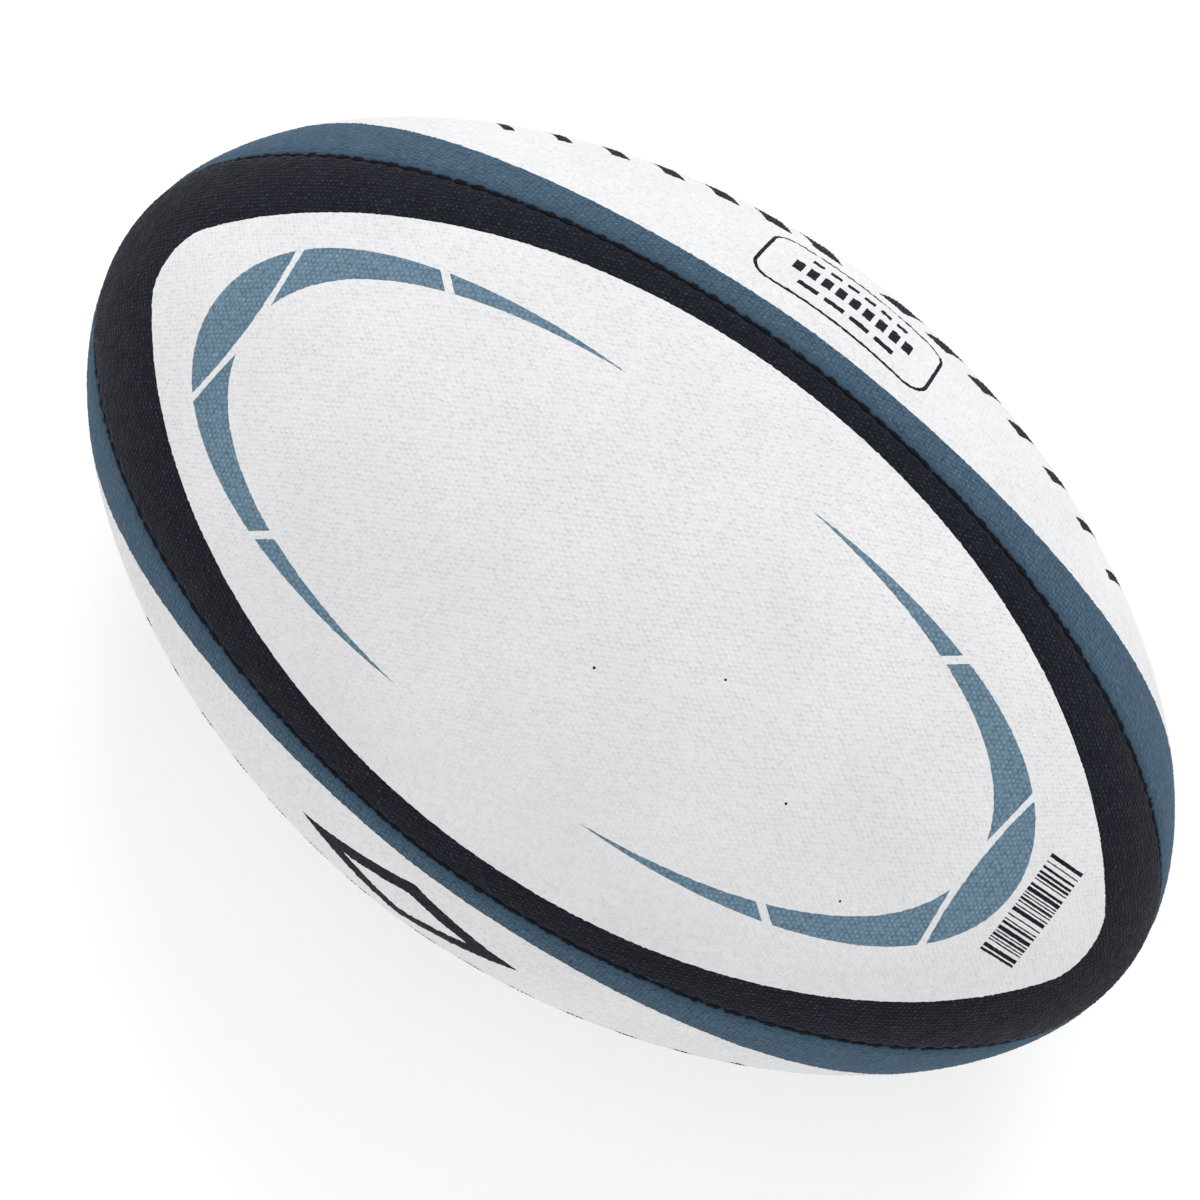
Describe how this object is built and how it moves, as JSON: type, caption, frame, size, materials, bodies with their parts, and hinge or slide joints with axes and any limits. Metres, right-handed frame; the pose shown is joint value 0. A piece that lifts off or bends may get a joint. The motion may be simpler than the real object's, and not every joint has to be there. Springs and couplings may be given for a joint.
{
  "type": "rugby ball",
  "caption": "Oval rugby ball of stitched pebble-grain panels in white with dark and slate-blue margins, over cloth plies and an air bladder with a seam valve.",
  "frame": {"origin": "centre of the ball", "axes": "+X along the long axis, tip to tip; +Z through the middle of the top panel, one of the two with a near-black margin; the front panel, one of the two with a slate-blue margin, faces -Y; the valve is in the seam half way between -Y and -Z"},
  "size_m": [0.2918, 0.186, 0.186],
  "materials": {
    "cover_rubber": "pebble-grained satin rubber, white with printed near-black and slate-blue margins",
    "backing_cloth": "woven polyester and cotton ply, soaked with latex",
    "waxed_thread": "waxed multifilament polyester",
    "bladder_rubber": "smooth butyl rubber",
    "valve_rubber": "smooth matte moulded rubber"
  },
  "bodies": {
    "root": {"cover_top": "cover_rubber", "cover_front": "cover_rubber", "cover_bottom": "cover_rubber", "cover_rear": "cover_rubber", "ply_1_top": "backing_cloth", "ply_1_front": "backing_cloth", "ply_1_bottom": "backing_cloth", "ply_1_rear": "backing_cloth", "ply_2_top": "backing_cloth", "ply_2_front": "backing_cloth", "ply_2_bottom": "backing_cloth", "ply_2_rear": "backing_cloth", "ply_3_top": "backing_cloth", "ply_3_front": "backing_cloth", "ply_3_bottom": "backing_cloth", "ply_3_rear": "backing_cloth", "thread_rear_top": "waxed_thread", "thread_top_front": "waxed_thread", "thread_front_bottom": "waxed_thread", "thread_bottom_rear": "waxed_thread", "bladder": "bladder_rubber", "valve_patch": "bladder_rubber", "valve_body": "valve_rubber", "valve_core": "valve_rubber", "balance_strip": "bladder_rubber"}
  },
  "joints": []
}
